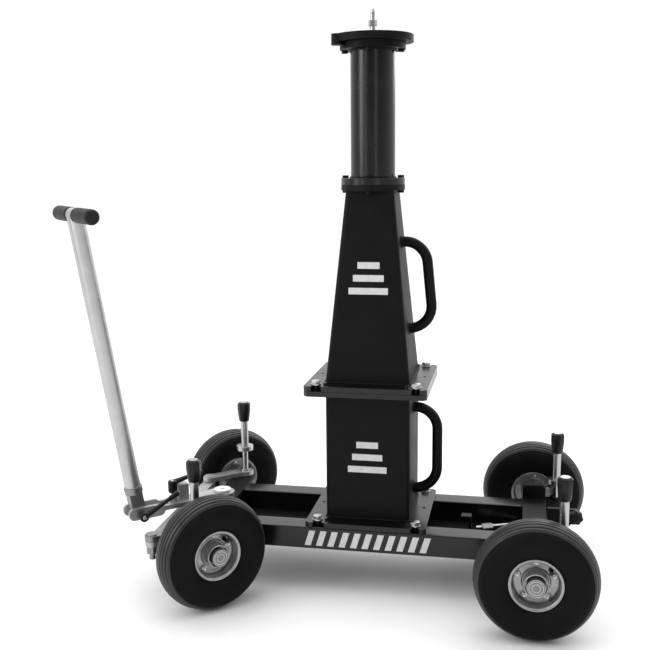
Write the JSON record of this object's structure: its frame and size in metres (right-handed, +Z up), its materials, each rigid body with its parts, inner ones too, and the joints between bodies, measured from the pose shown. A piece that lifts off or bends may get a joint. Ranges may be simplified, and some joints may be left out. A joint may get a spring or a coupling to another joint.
{
  "type": "camera crane base dolly",
  "caption": "Wheeled camera crane base: steered front wheels with a hinged tow bar, lock pins, and stacked column risers that end in a round mounting disc with a stud.",
  "frame": {"origin": "on the floor under the middle of the bounding box at rest", "axes": "+Z up; -X is the front, where the tow bar is; -Y is the left side; the column stands 107.7 mm towards +X"},
  "size_m": [1.2394, 0.7331, 1.321],
  "materials": {
    "black_powder_coat": "fine-textured satin black powder coat",
    "machined_aluminium": "brushed, bare",
    "bright_steel": "zinc plated, bright",
    "tyre_rubber": "smooth sidewall, ribbed tread",
    "silver_rim": "silver paint",
    "black_plastic": "moulded, satin",
    "grip_rubber": "soft matt rubber"
  },
  "bodies": {
    "chassis": {"base_flange": "black_powder_coat", "column_bolts": "black_powder_coat", "column_foot_flange": "black_powder_coat", "column_head_flange": "black_powder_coat", "column_tube": "black_powder_coat", "drawbar_pivot": "bright_steel", "flange_bolts": "bright_steel", "floor_plate": "black_powder_coat", "front_beam": "black_powder_coat", "left_rail": "black_powder_coat", "lower_handle": "black_powder_coat", "lower_riser": "black_powder_coat", "lower_riser_flange": "black_powder_coat", "mount_disc": "black_powder_coat", "mount_stud": "bright_steel", "rear_axles": "bright_steel", "rear_beam": "black_powder_coat", "rear_tongue": "black_powder_coat", "right_rail": "black_powder_coat", "rod_bracket": "black_powder_coat", "stowed_rod": "bright_steel", "stud_nut": "bright_steel", "upper_handle": "black_powder_coat", "upper_riser": "black_powder_coat", "upper_riser_cap": "black_powder_coat", "upper_riser_flange": "black_powder_coat"},
    "front_left_wheel": {"front_left_tyre": "tyre_rubber", "front_left_rim": "silver_rim", "front_left_rim_bolts": "bright_steel"},
    "front_left_pin": {"front_left_lock_pin": "bright_steel", "front_left_pin_grip": "black_plastic"},
    "front_right_wheel": {"front_right_tyre": "tyre_rubber", "front_right_rim": "silver_rim", "front_right_rim_bolts": "bright_steel"},
    "front_right_pin": {"front_right_lock_pin": "bright_steel", "front_right_pin_grip": "black_plastic"},
    "rear_left_wheel": {"rear_left_tyre": "tyre_rubber", "rear_left_rim": "silver_rim", "rear_left_rim_bolts": "bright_steel"},
    "rear_left_pin": {"rear_left_lock_pin": "bright_steel", "rear_left_pin_grip": "black_plastic"},
    "rear_right_wheel": {"rear_right_tyre": "tyre_rubber", "rear_right_rim": "silver_rim", "rear_right_rim_bolts": "bright_steel"},
    "rear_right_pin": {"rear_right_lock_pin": "bright_steel", "rear_right_pin_grip": "black_plastic"},
    "left_knuckle": {"left_knuckle": "bright_steel", "left_steering_arm": "machined_aluminium"},
    "right_knuckle": {"right_knuckle": "bright_steel", "right_steering_arm": "machined_aluminium"},
    "drawbar": {"drawbar": "machined_aluminium"},
    "tie_bar": {"tie_bar": "machined_aluminium"},
    "tow_bar": {"tow_socket": "machined_aluminium", "tow_tube": "machined_aluminium", "tow_cross_bar": "machined_aluminium", "tow_grips": "grip_rubber"},
    "tow_clamp_lever": {"tow_clamp_lever": "black_plastic"},
    "steering_lock_lever": {"steering_lock_lever": "black_plastic"},
    "star_knob": {"star_knob": "black_plastic"}
  },
  "joints": [
    {"name": "drawbar_steer", "type": "hinge", "parent": "chassis", "child": "drawbar", "pos_m": [-0.27431, 0, 0.16], "axis": [0, 0, 1], "range_deg": [-87, 3]},
    {"name": "left_knuckle_steer", "type": "hinge", "parent": "chassis", "child": "left_knuckle", "pos_m": [-0.27431, -0.205, 0.13], "axis": [0, 0, 1], "range_deg": [-87, 3]},
    {"name": "right_knuckle_steer", "type": "hinge", "parent": "chassis", "child": "right_knuckle", "pos_m": [-0.27431, 0.205, 0.13], "axis": [0, 0, 1], "range_deg": [-87, 3]},
    {"name": "tie_bar_link", "type": "hinge", "parent": "drawbar", "child": "tie_bar", "pos_m": [-0.35308, -0.07093, 0.1475], "axis": [0, 0, 1], "range_deg": [-3, 87]},
    {"name": "tow_bar_tilt", "type": "hinge", "parent": "drawbar", "child": "tow_bar", "pos_m": [-0.43855, -0.14788, 0.168], "axis": [0.6691, -0.7431, 0], "range_deg": [-15, 41]},
    {"name": "tow_clamp_turn", "type": "hinge", "parent": "drawbar", "child": "tow_clamp_lever", "pos_m": [-0.43855, -0.14788, 0.168], "axis": [0.6691, -0.7431, 0], "range_deg": [-20, 60]},
    {"name": "steering_lock_turn", "type": "hinge", "parent": "drawbar", "child": "steering_lock_lever", "pos_m": [-0.37166, -0.08766, 0.199], "axis": [0, 0, 1], "range_deg": [-60, 60]},
    {"name": "front_left_spin", "type": "hinge", "parent": "left_knuckle", "child": "front_left_wheel", "pos_m": [-0.27431, -0.205, 0.13], "axis": [0.7071, -0.7071, 0], "continuous": true},
    {"name": "front_right_spin", "type": "hinge", "parent": "right_knuckle", "child": "front_right_wheel", "pos_m": [-0.27431, 0.205, 0.13], "axis": [-0.6561, 0.7547, 0], "continuous": true},
    {"name": "rear_left_spin", "type": "hinge", "parent": "chassis", "child": "rear_left_wheel", "pos_m": [0.48969, -0.282, 0.13], "axis": [0, 1, 0], "continuous": true},
    {"name": "rear_right_spin", "type": "hinge", "parent": "chassis", "child": "rear_right_wheel", "pos_m": [0.48969, 0.282, 0.13], "axis": [0, 1, 0], "continuous": true},
    {"name": "star_knob_turn", "type": "hinge", "parent": "chassis", "child": "star_knob", "pos_m": [0.57969, -0.031, 0.178], "axis": [0, -1, 0], "continuous": true},
    {"name": "front_left_pin_slide", "type": "slide", "parent": "left_knuckle", "child": "front_left_pin", "axis": [0, 0, 1], "range_m": [-0.0207, 0.045]},
    {"name": "front_right_pin_slide", "type": "slide", "parent": "right_knuckle", "child": "front_right_pin", "axis": [0, 0, 1], "range_m": [-0.0527, 0.013]},
    {"name": "rear_left_pin_slide", "type": "slide", "parent": "chassis", "child": "rear_left_pin", "axis": [0, 0, 1], "range_m": [-0.0617, 0.004]},
    {"name": "rear_right_pin_slide", "type": "slide", "parent": "chassis", "child": "rear_right_pin", "axis": [0, 0, 1], "range_m": [-0.0367, 0.029]}
  ],
  "couplings": [
    {"joint": "left_knuckle_steer", "follows": "drawbar_steer", "ratio": 1},
    {"joint": "right_knuckle_steer", "follows": "drawbar_steer", "ratio": 1},
    {"joint": "tie_bar_link", "follows": "drawbar_steer", "ratio": -1}
  ]
}
